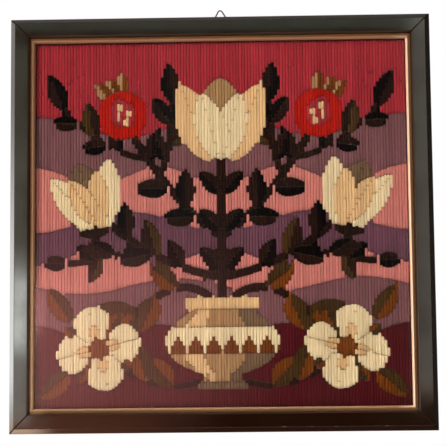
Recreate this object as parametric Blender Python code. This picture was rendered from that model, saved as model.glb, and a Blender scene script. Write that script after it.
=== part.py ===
"""A wool embroidery under glass in a dark lacquered frame, hung by a wire triangle on its back.

The frame stands upright and faces -Y. Its origin is the place inside the top of the wire triangle
where the wall's nail sits, so nearly all of the object lies below the origin and in front of it.
"""

import math

import bmesh
import bpy
from mathutils import Vector

# Sizes are in millimetres, and MM turns them into metres
MM = 0.001

# Stitched area that shows inside the frame, counted in the holes of its canvas
HOLE_PITCH = 2.54
STITCH_COLUMNS = 127
STITCH_ROWS = 125
SIGHT_WIDTH = STITCH_COLUMNS * HOLE_PITCH
SIGHT_HEIGHT = STITCH_ROWS * HOLE_PITCH

# Rail section: widths run inwards from the outer edge, depths run forwards from the back
BEVEL_WIDTH = 4.2
FACE_WIDTH = 11.4
STEP_WIDTH = 1.3
RAIL_WIDTH = BEVEL_WIDTH + FACE_WIDTH + STEP_WIDTH
RAIL_DEPTH = 18.0
BEVEL_DROP = 4.8
STEP_DROP = 1.8
REBATE_OVERLAP = 4.0
REBATE_WIDTH = RAIL_WIDTH - REBATE_OVERLAP
ARRIS_RADIUS = 0.8
FINE_RADIUS = 0.4
ARC_STEPS = 4

# Gaps that keep the pieces apart
SEAT_GAP = 0.3
REBATE_PLAY = 0.5
MITRE_GAP = 0.3

# Gilt slip inside the rail
SLIP_SHOWS = 4.3
SLIP_FLANGE = 2.0
SLIP_RISE = 1.3
SLIP_RIDGE = 2.7
SLIP_RIDGE_RADIUS = 0.9
SLIP_INNER_FACE = 1.7

# Layers in the rebate, from the back forwards
BOARD_BACK = 2.4
BOARD_THICKNESS = 2.5
EMBROIDERY_THICKNESS = 3.0
GLASS_THICKNESS = 2.0

# Panel pins that hold the layers in the rebate
PIN_RADIUS = 0.7
PIN_LENGTH = 12.0
PIN_IN_RAIL = 4.5
PIN_SPACING = 170.0
PIN_SIDES = 12

# Wire triangle and the plate that carries it
WIRE_RADIUS = 0.6
WIRE_SIDES = 10
RING_HEIGHT = 11.6
RING_HALF_ANGLE = math.radians(30)
RING_TOP_RADIUS = 1.9
RING_FOOT_RADIUS = 1.5
RING_SLIDE = 1.0
RING_FOOT_BELOW_TOP = 2.5
PLATE_THICKNESS = 0.8
PLATE_HEIGHT = 9.4
EYE_LENGTH = 7.6
EYE_CLEARANCE = 0.3
EYE_END_ANGLE = math.radians(-60)
EYE_STEPS = 14
NAIL_RADIUS = 0.6
NAIL_HEAD_RADIUS = 1.6
NAIL_HEAD_HEIGHT = 0.9
NAIL_LENGTH = 9.0
NAIL_BELOW_EYE = 6.0
NAIL_SIDES = 16

# Places worked out from the sizes
FRAME_WIDTH = SIGHT_WIDTH + 2 * (RAIL_WIDTH + SLIP_SHOWS)
FRAME_HEIGHT = SIGHT_HEIGHT + 2 * (RAIL_WIDTH + SLIP_SHOWS)
EYE_INNER_RADIUS = WIRE_RADIUS + EYE_CLEARANCE
EYE_OUTER_RADIUS = EYE_INNER_RADIUS + PLATE_THICKNESS
RAIL_BACK_Y = -(SEAT_GAP + EYE_OUTER_RADIUS)
RING_FOOT_Z = WIRE_RADIUS - RING_HEIGHT
FRAME_TOP_Z = RING_FOOT_Z + RING_FOOT_BELOW_TOP
FRAME_MIDDLE_Z = FRAME_TOP_Z - FRAME_HEIGHT / 2
EMBROIDERY_BACK = BOARD_BACK + BOARD_THICKNESS + SEAT_GAP
GLASS_BACK = EMBROIDERY_BACK + EMBROIDERY_THICKNESS + SEAT_GAP
SLIP_BACK = GLASS_BACK + GLASS_THICKNESS + SEAT_GAP
REBATE_DEPTH = SLIP_BACK + SLIP_FLANGE + SEAT_GAP

# The four sides of the frame: which way is inwards, and half of the outer length
SIDES = {
    "top": {"inwards": (0, -1), "half_length": FRAME_WIDTH / 2},
    "bottom": {"inwards": (0, 1), "half_length": FRAME_WIDTH / 2},
    "left": {"inwards": (1, 0), "half_length": FRAME_HEIGHT / 2},
    "right": {"inwards": (-1, 0), "half_length": FRAME_HEIGHT / 2},
}

# Colours: red, green and blue in linear light, then roughness and metallic
FINISHES = {
    "lacquer": ((0.016, 0.015, 0.013), 0.18, 0.0),
    "gilt": ((0.55, 0.33, 0.12), 0.35, 0.9),
    "glass": ((0.85, 0.88, 0.87), 0.03, 0.0),
    "wool": ((0.20, 0.045, 0.05), 0.95, 0.0),
    "hardboard": ((0.17, 0.085, 0.038), 0.8, 0.0),
    "steel": ((0.25, 0.23, 0.21), 0.4, 1.0),
}


def clear_scene():
    for thing in list(bpy.data.objects):
        bpy.data.objects.remove(thing, do_unlink=True)


def finish(name):
    """The material with this finish, made once."""
    found = bpy.data.materials.get(name)
    if found:
        return found
    colour, roughness, metallic = FINISHES[name]
    material = bpy.data.materials.new(name)
    material.use_nodes = True
    shader = material.node_tree.nodes["Principled BSDF"]
    shader.inputs["Base Color"].default_value = (*colour, 1)
    shader.inputs["Roughness"].default_value = roughness
    shader.inputs["Metallic"].default_value = metallic
    return material


def add_object(name, shape, finish_name, smooth_below=None):
    """Turns a bmesh that was drawn in millimetres into a named object."""
    bmesh.ops.recalc_face_normals(shape, faces=shape.faces)
    bmesh.ops.scale(shape, vec=(MM, MM, MM), verts=shape.verts)
    mesh = bpy.data.meshes.new(name)
    shape.to_mesh(mesh)
    shape.free()
    if smooth_below is not None:
        mesh.shade_smooth()
        mesh.set_sharp_from_angle(angle=math.radians(smooth_below))
    mesh.materials.append(finish(finish_name))
    placed = bpy.data.objects.new(name, mesh)
    bpy.context.scene.collection.objects.link(placed)
    return placed


def rounded(corners):
    """An outline's points, from corners given as (across, deep, radius)."""
    points = []
    for index, (x, y, radius) in enumerate(corners):
        corner = Vector((x, y))
        if radius == 0:
            points.append((x, y))
            continue
        to_before = (Vector(corners[index - 1][:2]) - corner).normalized()
        to_after = (Vector(corners[(index + 1) % len(corners)][:2]) - corner).normalized()
        half = to_before.angle(to_after) / 2
        centre = corner + (to_before + to_after).normalized() * radius / math.sin(half)
        start = corner + to_before * radius / math.tan(half) - centre
        first = math.atan2(start.y, start.x)
        turn = -math.copysign(math.pi - 2 * half, to_before.cross(to_after))
        for step in range(ARC_STEPS + 1):
            angle = first + turn * step / ARC_STEPS
            points.append((centre.x + radius * math.cos(angle), centre.y + radius * math.sin(angle)))
    return points


def place_on_side(side, along, across, deep):
    """Where a point of a side's section goes: along the side, in from its outer edge, and forwards."""
    inward_x, inward_z = SIDES[side]["inwards"]
    from_middle = (FRAME_HEIGHT if inward_x == 0 else FRAME_WIDTH) / 2 - across
    x = along if inward_x == 0 else -inward_x * from_middle
    z = along if inward_z == 0 else -inward_z * from_middle
    return (x, RAIL_BACK_Y - deep, FRAME_MIDDLE_Z + z)


def mitred_bar(side, section):
    """A bar of this section along one side, with its ends cut at 45 degrees."""
    shape = bmesh.new()
    half_length = SIDES[side]["half_length"] - MITRE_GAP / math.sqrt(2)
    ends = []
    for end in (-1, 1):
        ring = [
            shape.verts.new(place_on_side(side, end * (half_length - across), across, deep))
            for across, deep in section
        ]
        shape.faces.new(ring)
        ends.append(ring)
    count = len(section)
    for index in range(count):
        after = (index + 1) % count
        shape.faces.new((ends[0][index], ends[0][after], ends[1][after], ends[1][index]))
    return shape


def rail_section():
    return rounded(
        [
            (0, 0, FINE_RADIUS),
            (0, RAIL_DEPTH - BEVEL_DROP, ARRIS_RADIUS),
            (BEVEL_WIDTH, RAIL_DEPTH, ARRIS_RADIUS),
            (BEVEL_WIDTH + FACE_WIDTH, RAIL_DEPTH, FINE_RADIUS),
            (RAIL_WIDTH, RAIL_DEPTH - STEP_DROP, FINE_RADIUS),
            (RAIL_WIDTH, REBATE_DEPTH, 0),
            (REBATE_WIDTH, REBATE_DEPTH, 0),
            (REBATE_WIDTH, 0, 0),
        ]
    )


def slip_section():
    outer = REBATE_WIDTH + REBATE_PLAY
    shoulder = RAIL_WIDTH + SEAT_GAP
    inner = RAIL_WIDTH + SLIP_SHOWS
    return rounded(
        [
            (outer, SLIP_BACK, 0),
            (outer, SLIP_BACK + SLIP_FLANGE, 0),
            (shoulder, SLIP_BACK + SLIP_FLANGE, 0),
            (shoulder, SLIP_BACK + SLIP_FLANGE + SLIP_RISE, FINE_RADIUS),
            (inner - SLIP_RIDGE_RADIUS, SLIP_BACK + SLIP_FLANGE + SLIP_RIDGE, SLIP_RIDGE_RADIUS),
            (inner, SLIP_BACK + SLIP_INNER_FACE, FINE_RADIUS),
            (inner, SLIP_BACK, 0),
        ]
    )


def cylinder_along_side(side, along, first, last, deep, radius):
    """A round bar that points inwards from a side, between two distances from its outer edge."""
    shape = bmesh.new()
    rings = []
    for across in (first, last):
        ring = []
        for step in range(PIN_SIDES):
            angle = 2 * math.pi * (step + 0.5) / PIN_SIDES
            here = along + radius * math.cos(angle)
            ring.append(shape.verts.new(place_on_side(side, here, across, deep + radius * math.sin(angle))))
        shape.faces.new(ring)
        rings.append(ring)
    for index in range(PIN_SIDES):
        after = (index + 1) % PIN_SIDES
        shape.faces.new((rings[0][index], rings[0][after], rings[1][after], rings[1][index]))
    return shape


def turned_nail(x, z, radius, head_radius, tip_y, head_y, top_y):
    """A nail turned about Y, from its tip in the rail to the crown of its head."""
    profile = [(radius, tip_y), (radius, head_y)]
    if head_radius > radius:
        crown = (top_y - head_y) * 0.5
        profile += [(head_radius, head_y), (head_radius, head_y + crown), (head_radius * 0.55, top_y)]
    shape = bmesh.new()
    rings = []
    for ring_radius, y in profile:
        ring = []
        for step in range(NAIL_SIDES):
            angle = 2 * math.pi * step / NAIL_SIDES
            ring.append(shape.verts.new((x + ring_radius * math.cos(angle), y, z + ring_radius * math.sin(angle))))
        rings.append(ring)
    shape.faces.new(rings[0])
    shape.faces.new(rings[-1])
    for low, high in zip(rings, rings[1:]):
        for index in range(NAIL_SIDES):
            after = (index + 1) % NAIL_SIDES
            shape.faces.new((low[index], low[after], high[after], high[index]))
    return shape


def cut_away(body, name, shape):
    """Cuts a shape out of a body, and keeps the cutter as a hidden guide."""
    cutter = add_object(name, shape, "steel")
    cutter.hide_render = True
    cutter.display_type = "WIRE"
    cut = body.modifiers.new(name, "BOOLEAN")
    cut.operation = "DIFFERENCE"
    cut.solver = "EXACT"
    cut.object = cutter


def layer(name, back, thickness, finish_name):
    """A flat sheet that fills the rebate."""
    width = FRAME_WIDTH - 2 * (REBATE_WIDTH + REBATE_PLAY)
    height = FRAME_HEIGHT - 2 * (REBATE_WIDTH + REBATE_PLAY)
    shape = bmesh.new()
    bmesh.ops.create_cube(shape, size=1)
    bmesh.ops.scale(shape, vec=(width, thickness, height), verts=shape.verts)
    bmesh.ops.translate(shape, vec=(0, RAIL_BACK_Y - back - thickness / 2, FRAME_MIDDLE_Z), verts=shape.verts)
    return add_object(name, shape, finish_name)


def pin_depth():
    return BOARD_BACK - SEAT_GAP - PIN_RADIUS


def make_rails_and_slips():
    for side in SIDES:
        rail = add_object(f"rail_{side}", mitred_bar(side, rail_section()), "lacquer", smooth_below=35)
        add_object(f"slip_{side}", mitred_bar(side, slip_section()), "gilt", smooth_below=40)
        for number, along in enumerate((-PIN_SPACING / 2, PIN_SPACING / 2), start=1):
            hole = cylinder_along_side(
                side,
                along,
                REBATE_WIDTH - PIN_IN_RAIL - SEAT_GAP,
                REBATE_WIDTH + REBATE_PLAY,
                pin_depth(),
                PIN_RADIUS + SEAT_GAP,
            )
            cut_away(rail, f"pin_hole_{side}_{number}", hole)


def make_pins():
    for side in SIDES:
        for number, along in enumerate((-PIN_SPACING / 2, PIN_SPACING / 2), start=1):
            first = REBATE_WIDTH - PIN_IN_RAIL
            pin = cylinder_along_side(side, along, first, first + PIN_LENGTH, pin_depth(), PIN_RADIUS)
            add_object(f"pin_{side}_{number}", pin, "steel", smooth_below=45)


def make_layers():
    layer("backing_board", BOARD_BACK, BOARD_THICKNESS, "hardboard")
    layer("embroidery", EMBROIDERY_BACK, EMBROIDERY_THICKNESS, "wool")
    layer("glass", GLASS_BACK, GLASS_THICKNESS, "glass")


def ring_path():
    """The middle line of the wire, round a triangle with rounded corners that hangs from the origin."""
    top = WIRE_RADIUS + RING_TOP_RADIUS * (1 / math.sin(RING_HALF_ANGLE) - 1)
    half_foot = (top - RING_FOOT_Z) * math.tan(RING_HALF_ANGLE)
    corners = [
        (0, top, RING_TOP_RADIUS),
        (RING_SLIDE - half_foot, RING_FOOT_Z, RING_FOOT_RADIUS),
        (RING_SLIDE + half_foot, RING_FOOT_Z, RING_FOOT_RADIUS),
    ]
    return rounded(corners)


def make_ring():
    path = ring_path()
    shape = bmesh.new()
    rings = []
    for index, (x, z) in enumerate(path):
        before = path[index - 1]
        after = path[(index + 1) % len(path)]
        heading = math.atan2(after[1] - before[1], after[0] - before[0])
        out_x, out_z = math.sin(heading), -math.cos(heading)
        ring = []
        for step in range(WIRE_SIDES):
            angle = 2 * math.pi * step / WIRE_SIDES
            sideways = WIRE_RADIUS * math.cos(angle)
            ring.append(
                shape.verts.new((x + sideways * out_x, WIRE_RADIUS * math.sin(angle), z + sideways * out_z))
            )
        rings.append(ring)
    for low, high in zip(rings, rings[1:] + rings[:1]):
        for index in range(WIRE_SIDES):
            after = (index + 1) % WIRE_SIDES
            shape.faces.new((low[index], low[after], high[after], high[index]))
    add_object("hanger_ring", shape, "steel", smooth_below=60)


def eye_arc(radius, angles):
    return [(radius * math.cos(angle), RING_FOOT_Z + radius * math.sin(angle)) for angle in angles]


def make_plate():
    """A strip of sheet steel: flat against the rail, then curled over the foot of the wire triangle."""
    angles = [
        math.pi + (EYE_END_ANGLE - math.pi) * step / EYE_STEPS
        for step in range(EYE_STEPS + 1)
    ]
    foot = RING_FOOT_Z - PLATE_HEIGHT
    front = -EYE_OUTER_RADIUS
    section = [(front, foot)]
    section += eye_arc(EYE_OUTER_RADIUS, angles)
    section += eye_arc(EYE_INNER_RADIUS, reversed(angles))
    section.append((front + PLATE_THICKNESS, foot))
    shape = bmesh.new()
    ends = []
    for x in (-EYE_LENGTH / 2, EYE_LENGTH / 2):
        ring = [shape.verts.new((x, y, z)) for y, z in section]
        shape.faces.new(ring)
        ends.append(ring)
    for index in range(len(section)):
        after = (index + 1) % len(section)
        shape.faces.new((ends[0][index], ends[0][after], ends[1][after], ends[1][index]))
    return add_object("hanger_plate", shape, "steel", smooth_below=40)


def make_hanger_nails(plate):
    rail = bpy.data.objects["rail_top"]
    z = RING_FOOT_Z - NAIL_BELOW_EYE
    plate_back = -EYE_OUTER_RADIUS + PLATE_THICKNESS
    head = plate_back + SEAT_GAP
    tip = head - NAIL_LENGTH
    nail = turned_nail(0, z, NAIL_RADIUS, NAIL_HEAD_RADIUS, tip, head, head + NAIL_HEAD_HEIGHT)
    add_object("hanger_nail", nail, "steel", smooth_below=40)
    hole_radius = NAIL_RADIUS + SEAT_GAP
    for body in (plate, rail):
        hole = turned_nail(0, z, hole_radius, hole_radius, tip - SEAT_GAP, head, head)
        cut_away(body, f"nail_hole_{body.name}", hole)


def main():
    clear_scene()
    make_rails_and_slips()
    make_layers()
    make_pins()
    make_ring()
    make_hanger_nails(make_plate())


main()
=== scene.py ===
"""The looks of the framed wool embroidery.

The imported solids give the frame. This script stitches the wool strand by strand on a canvas sheet that
stands for the plain embroidery solid, and gives every piece its finish. Units are metres, and the
picture faces -Y as in the solids.
"""

import math

import bmesh
import bpy
import numpy as np
from mathutils import Matrix, Vector


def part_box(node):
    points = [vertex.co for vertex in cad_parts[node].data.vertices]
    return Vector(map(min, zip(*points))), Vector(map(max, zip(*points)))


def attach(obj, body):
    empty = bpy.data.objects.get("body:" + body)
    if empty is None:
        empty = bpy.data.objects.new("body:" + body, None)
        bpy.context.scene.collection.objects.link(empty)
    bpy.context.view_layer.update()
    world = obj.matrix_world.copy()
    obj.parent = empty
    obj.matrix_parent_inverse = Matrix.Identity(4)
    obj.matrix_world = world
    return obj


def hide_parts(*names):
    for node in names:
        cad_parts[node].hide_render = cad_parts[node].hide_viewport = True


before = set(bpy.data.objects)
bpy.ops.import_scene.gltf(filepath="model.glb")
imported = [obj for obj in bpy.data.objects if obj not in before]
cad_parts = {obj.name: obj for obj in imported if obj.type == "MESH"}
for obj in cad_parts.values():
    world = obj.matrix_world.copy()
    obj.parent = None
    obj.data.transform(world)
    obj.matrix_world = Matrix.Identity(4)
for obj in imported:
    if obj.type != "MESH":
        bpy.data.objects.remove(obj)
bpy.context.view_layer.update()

MM = 0.001

# The frame's own places, read from the solids
FRAME_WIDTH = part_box("rail_right")[1][0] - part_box("rail_left")[0][0]
FRAME_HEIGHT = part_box("rail_top")[1][2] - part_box("rail_bottom")[0][2]
FRAME_MIDDLE_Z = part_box("rail_top")[1][2] - FRAME_HEIGHT / 2
FRAME_BOTTOM_Z = FRAME_MIDDLE_Z - FRAME_HEIGHT / 2
FACE_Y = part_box("rail_top")[0][1]
SIGHT_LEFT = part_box("slip_left")[1][0]
SIGHT_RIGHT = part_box("slip_right")[0][0]
SIGHT_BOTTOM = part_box("slip_bottom")[1][2]
SIGHT_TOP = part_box("slip_top")[0][2]
SHEET_LOW, SHEET_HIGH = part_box("embroidery")

# Canvas, with a few columns and rows on each side hidden by the slips
COLUMNS = 127
ROWS = 125
STEPS_PER_ROW = 4
HIDDEN = 2
PITCH = (SIGHT_RIGHT - SIGHT_LEFT) / COLUMNS
ROW_PITCH = (SIGHT_TOP - SIGHT_BOTTOM) / ROWS
MIDDLE = COLUMNS / 2
CANVAS_THICKNESS = 0.8 * MM
CANVAS_FRONT_Y = SHEET_HIGH[1] - CANVAS_THICKNESS
CANVAS_CORNER = 2 * MM

# One strand of wool: its arch, and how it narrows and sinks at its ends
STRAND_WIDTH = 2.70 * MM
STRAND_HEIGHT = 1.75 * MM
STRAND_ARCH = 7
ARCH_FULLNESS = 0.62
END_WIDTH_SHARE = 0.62
END_WIDTH_CURVE = 0.6
END_HEIGHT_SHARE = 0.12
END_HEIGHT_CURVE = 0.8
DIVE = 0.35 * MM
SHOULDER = 1.9 * MM
END_SAMPLES = (0.0, 0.3 * MM, 0.8 * MM, 1.5 * MM)
SAMPLE_STEP = 1.8 * MM

# Unevenness of the strands: depth of its waves, their length, and the spread from strand to strand
PUFF = (0.06, 3.1 * MM, 0.035)
SWELL = (0.03, 2.3 * MM, 0.02)
WIDEST_PHASE = 6
SEED = 11

# Sideways sway of the strands: a slow wave and a quick one, each with its own phase from column to column
SWAY = 0.07 * MM
WANDER = 9 * MM
SLOW_PHASE = 2.4
QUICK_SWAY = 0.6 * SWAY
QUICK_WANDER = 0.37 * WANDER
QUICK_PHASE = 5.1

# Stitches, in steps
LONGEST_STITCH = 24 * STEPS_PER_ROW
SHORTEST_PART = 8 * STEPS_PER_ROW
SHORTEST_STITCH = 6

# Twist of the wool
PLY_LENGTH = 2.4 * MM
PLY_SLANT = 1.15

# Wool colours in linear light
YARNS = {
    "crimson": (0.355, 0.026, 0.037),
    "mauve": (0.195, 0.077, 0.088),
    "pink": (0.57, 0.183, 0.160),
    "dusk": (0.142, 0.053, 0.080),
    "plum": (0.080, 0.0060, 0.0090),
    "rust": (0.166, 0.041, 0.005),
    "umber": (0.020, 0.0065, 0.0040),
    "night": (0.0038, 0.0014, 0.0013),
    "olive": (0.057, 0.026, 0.0070),
    "tan": (0.38, 0.205, 0.093),
    "oat": (0.68, 0.42, 0.215),
    "cream": (0.76, 0.56, 0.35),
    "poppy": (0.42, 0.008, 0.0035),
    "stone": (0.165, 0.095, 0.055),
}
YARN_NAMES = list(YARNS)

# Where the finishes, painted shade and painted highlights change, inward from the frame's outer edge; each
# pair is where one fades into the next
BEVEL_EDGE = 4.2 * MM
STEP_STARTS = (15.5 * MM, 15.9 * MM)
RIDGE_STARTS = (18.9 * MM, 20.2 * MM)
INNER_FACE_STARTS = (20.1 * MM, 20.5 * MM)

# The same across the frame, from its middle
LEFT_STEP_ENDS = (-160 * MM, -150 * MM)
LEFT_SLIP_ENDS = (-158 * MM, -148 * MM)
RIGHT_SLIP_STARTS = (145 * MM, 158 * MM)
# Where the dull dark foot begins, past its glossy far left end
DULL_FOOT_STARTS = (-168 * MM, -138 * MM)
# Where the painted warm reflection on the dull foot fades out towards the middle
FOOT_REFLECTION_FADES = (-140 * MM, 20 * MM)

# The same in height
RUBBED_FOOT = (FRAME_BOTTOM_Z + 7 * MM, FRAME_BOTTOM_Z + 5 * MM)
# Height of the dull dark foot on the bottom rail
DULL_FOOT = (FRAME_BOTTOM_Z + 4.6 * MM, FRAME_BOTTOM_Z + 3.8 * MM)
LOWER_PART = (FRAME_MIDDLE_Z, FRAME_MIDDLE_Z - 60 * MM)
TOP_SLIP_STARTS = (SIGHT_TOP - 1 * MM, SIGHT_TOP)

# Mitres and the backing board
SINE_OF_MITRE = 0.707
HARDBOARD_MESH = 1.6 * MM

# Glue squeezed out at the mitres
GLUE_OFFSET = 0.02 * MM
GLUE_THICKNESS = 0.26 * MM
GLUE_SHARE = (0.99, 0.985, 0.99)
SAME_PLACE = 1e-6

# Camera, placed from the middle of the frame's face
CAMERA_FROM_FACE = (0.0352, -1.3666, -0.1529)
CAMERA_YAW = math.radians(1.412)
CAMERA_PITCH = math.radians(6.31)
CAMERA_ROLL = math.radians(0.56)
FOCAL_PIXELS = 1603.5
PHOTO_PIXELS = 446
SENSOR_MM = 36

# The studio's floor and its own light, which is brighter on the left and dim in front
FLOOR_BELOW_MIDDLE = 0.75
FLOOR_REACH = 6.0
AMBIENT_LEFT = 0.75
AMBIENT_RIGHT = 0.12
FRONT_SHARE = 0.015
AMBIENT_COLOUR = (1.0, 0.96, 0.91, 1)
WHITE = (1.0, 1.0, 1.0, 1)

# Lamps, which light the wool but don't show in the gloss: name, place from the frame's middle, width,
# height, brightness, colour
LAMPS = [
    ("window", (-1.20, -2.0, 0.35), 1.1, 1.6, 1.36, (1.0, 0.95, 0.89)),
    ("ceiling", (0.2, -2.2, 0.95), 1.8, 0.9, 0.50, (1.0, 0.94, 0.87)),
    ("behind", (0.4, 1.9, 1.7), 2.0, 1.4, 1.0, (1.0, 0.98, 0.95)),
]
LAMP_SPREAD = math.radians(50)

# Lit cards, which show only in the gloss: name, place, width, height, brightness, colour, and how far the
# light fades at the card's start and end across and at its foot and head
SIDE_CARDS = [
    ("side_window", (-1.6, 0.30, 0.60), 0.9, 1.60, 1.5, (1.0, 0.99, 0.92), (0.1, 0.1, 0.04, 0.1)),
    ("side_glow", (-1.6, 0.30, 0.0975), 0.9, 0.645, 6.3, (1.0, 1.0, 0.98), (0.1, 0.1, 0.13, 0.44)),
    ("side_low", (-1.6, 0.30, -0.39), 0.9, 0.46, 2.9, (1.0, 0.62, 0.40), (0.1, 0.1, 0.05, 0.04)),
    ("left_window", (-1.30, -0.95, 0.01), 1.3, 0.82, 5.5, (1.0, 0.97, 0.93), (0.2, 0.2, 0.1, 0.50)),
    ("front_window", (-1.25, -1.05, 0.9), 1.2, 1.2, 2.3, (1.0, 0.93, 0.80), (0.1, 0.1, 0.1, 0.1)),
]

# The same for the cards beside the camera, which all stand at one distance, so their places are only X and Z
FRONT_CARDS_Y = -1.36
FRONT_CARDS = [
    ("gleam_top", (-0.410, 0.375), 0.100, 0.21, 0.95, (0.85, 1.0, 0.80), (0.01, 0.004, 0.03, 0.03)),
    ("gleam_high", (-0.410, 0.190), 0.100, 0.24, 1.45, (0.92, 1.0, 0.80), (0.01, 0.004, 0.05, 0.05)),
    ("gleam_middle", (-0.410, 0.010), 0.100, 0.23, 6.2, (0.96, 1.0, 0.91), (0.01, 0.004, 0.07, 0.08)),
    ("gleam_bright", (-0.378, -0.005), 0.034, 0.17, 5.9, (0.95, 1.0, 0.97), (0.008, 0.003, 0.05, 0.06)),
    ("gleam_low", (-0.410, -0.1275), 0.100, 0.145, 3.6, (1.0, 0.98, 0.86), (0.01, 0.004, 0.03, 0.05)),
    ("gleam_on_glass", (-0.346, 0.005), 0.026, 0.12, 2.6, (1.0, 0.30, 0.28), (0.006, 0.014, 0.04, 0.04)),
    ("card_right", (0.350, 0.20), 0.124, 0.74, 1.55, (0.98, 1.0, 0.86), (0.006, 0.01, 0.05, 0.02)),
    ("card_right_low", (0.340, -0.13), 0.104, 0.09, 0.3, (1.0, 0.60, 0.42), (0.006, 0.01, 0.03, 0.03)),
    ("card_top", (-0.04, 0.548), 0.84, 0.14, 0.94, (0.67, 1.0, 0.81), (0.03, 0.03, 0.008, 0.02)),
    ("veil_wide", (-0.1235, -0.003), 0.467, 0.326, 1.1, (1.0, 0.42, 0.38), (0.006, 0.33, 0.006, 0.20)),
    ("veil_left", (-0.2735, -0.003), 0.167, 0.326, 0.65, (1.0, 0.42, 0.38), (0.006, 0.12, 0.006, 0.20)),
    ("card_low", (-0.210, -0.2025), 0.42, 0.067, 1.25, (1.0, 0.34, 0.21), (0.01, 0.28, 0.01, 0.008)),
    ("card_low_left", (-0.360, -0.2025), 0.12, 0.067, 0.55, (1.0, 0.85, 0.70), (0.01, 0.06, 0.01, 0.008)),
]
UNDER_CARD = ("card_under", (-0.30, 0.0, -0.55), 0.16, 0.30, 9, (1.0, 0.62, 0.40), (0.05, 0.05, 0.05, 0.05))
TILTED_CARDS = ("left_window", "front_window", "card_under")

# Gloss shows only one of the cards that share a plane, so each stands this much off the last one
CARD_STEP = 0.02 * MM


class Chart:
    """The design on its canvas: a yarn and a region number for each step up each column of stitches."""

    def __init__(self):
        across = np.arange(-HIDDEN, COLUMNS + HIDDEN) + 0.5
        up = (np.arange(-HIDDEN * STEPS_PER_ROW, (ROWS + HIDDEN) * STEPS_PER_ROW) + 0.5) / STEPS_PER_ROW
        self.x, self.y = np.meshgrid(across, up, indexing="ij")
        self.yarn = np.zeros(self.x.shape, int)
        self.region = np.zeros(self.x.shape, int)

    def paint(self, inside, yarn):
        self.yarn[inside] = YARN_NAMES.index(yarn)
        self.region[inside] = self.region.max() + 1

    def along(self, base, tip):
        """How far each step lies from base to tip, from 0 to 1, and its distance to the left of them."""
        run = math.hypot(tip[0] - base[0], tip[1] - base[1])
        ux, uy = (tip[0] - base[0]) / run, (tip[1] - base[1]) / run
        dx, dy = self.x - base[0], self.y - base[1]
        return (dx * ux + dy * uy) / run, dy * ux - dx * uy

    def leaf(self, base, tip, width, left, right, fullness=0.8, belly=0.85):
        """A pointed leaf in two yarns, one for each half."""
        t, off = self.along(base, tip)
        half = width / 2 * np.sin(math.pi * np.clip(t, 0, 1) ** belly) ** fullness
        inside = (t > 0) & (t < 1) & (np.abs(off) < half)
        self.paint(inside & (off >= 0), left)
        self.paint(inside & (off < 0), right)

    def oval(self, centre, across, up, yarn):
        self.paint(((self.x - centre[0]) / across) ** 2 + ((self.y - centre[1]) / up) ** 2 < 1, yarn)

    def stem(self, line, thickness, yarn):
        """A stem along a line of points."""
        near = np.full(self.x.shape, np.inf)
        for (x0, y0), (x1, y1) in zip(line, line[1:]):
            length = (x1 - x0) ** 2 + (y1 - y0) ** 2
            t = np.clip(((self.x - x0) * (x1 - x0) + (self.y - y0) * (y1 - y0)) / length, 0, 1)
            near = np.minimum(near, np.hypot(self.x - x0 - t * (x1 - x0), self.y - y0 - t * (y1 - y0)))
        self.paint(near < thickness / 2, yarn)


def bent(start, pull, end, steps=14):
    """The points of a curve that leaves start towards pull and comes to end."""
    line = []
    for step in range(steps + 1):
        t = step / steps
        corners = zip(start, pull, end)
        line.append(tuple((1 - t) ** 2 * a + 2 * t * (1 - t) * b + t * t * c for a, b, c in corners))
    return line


def both_sides(line):
    """A stem on the left half, and the same on the right half."""
    return ((1, line), (-1, [(COLUMNS - x, y) for x, y in line]))


# Background bands, from the top down: yarn, lower edge in rows, height of its waves, how many of them lie
# across, and how far along its wave the middle is
BANDS = [
    ("crimson", 96, 3.5, 2.0, 0.0),
    ("mauve", 79, 3.0, 3.0, 0.5),
    ("pink", 63, 3.5, 2.0, 0.5),
    ("dusk", 51, 2.5, 3.0, 0.0),
    ("pink", 41, 2.5, 2.0, 0.25),
    ("mauve", 25, 3.0, 3.0, 0.5),
    ("plum", -9, 0.0, 1.0, 0.0),
]


def background(chart):
    upper = np.full(chart.x.shape, ROWS + HIDDEN + 1.0)
    for yarn, edge, height, waves, start in BANDS:
        lower = edge + height * np.cos(2 * math.pi * (waves * (chart.x - MIDDLE) / COLUMNS + start))
        chart.paint((chart.y < upper) & (chart.y >= lower), yarn)
        upper = lower


def urn(chart):
    """A footed urn with a zigzag belt; the names are its heights in rows."""
    foot, waist, belt, neck, lip = 6, 11, 22.5, 33, 37
    up = np.clip((chart.y - waist) / (neck - waist), 0, 1)
    body = 5 + 13.0 * np.sin(math.pi * up**0.85) ** 0.75 + 3.5 * up
    stand = 10 - 5.0 * (chart.y - foot) / (waist - foot)
    half = np.where(chart.y < waist, stand, np.where(chart.y < neck, body, 12.5))
    off = chart.x - MIDDLE
    inside = (np.abs(off) < half) & (chart.y >= foot) & (chart.y < lip)
    chart.paint(inside, "tan")
    chart.paint(inside & (off < -half * 0.35) & (off > -half * 0.75), "oat")
    chart.paint(inside & (off > half * 0.45), "stone")
    round_belt = inside & (np.abs(chart.y - belt) < 4.5)
    chart.paint(round_belt, "cream")
    zigzag = np.abs((off + 3.0) % 6 - 3) * 1.5
    chart.paint(round_belt & (chart.y - belt + 4.5 < 1.2 + zigzag), "rust")
    chart.paint(inside & (chart.y >= neck), "oat")
    chart.paint(inside & (chart.y < foot + 2.5), "stone")


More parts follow.
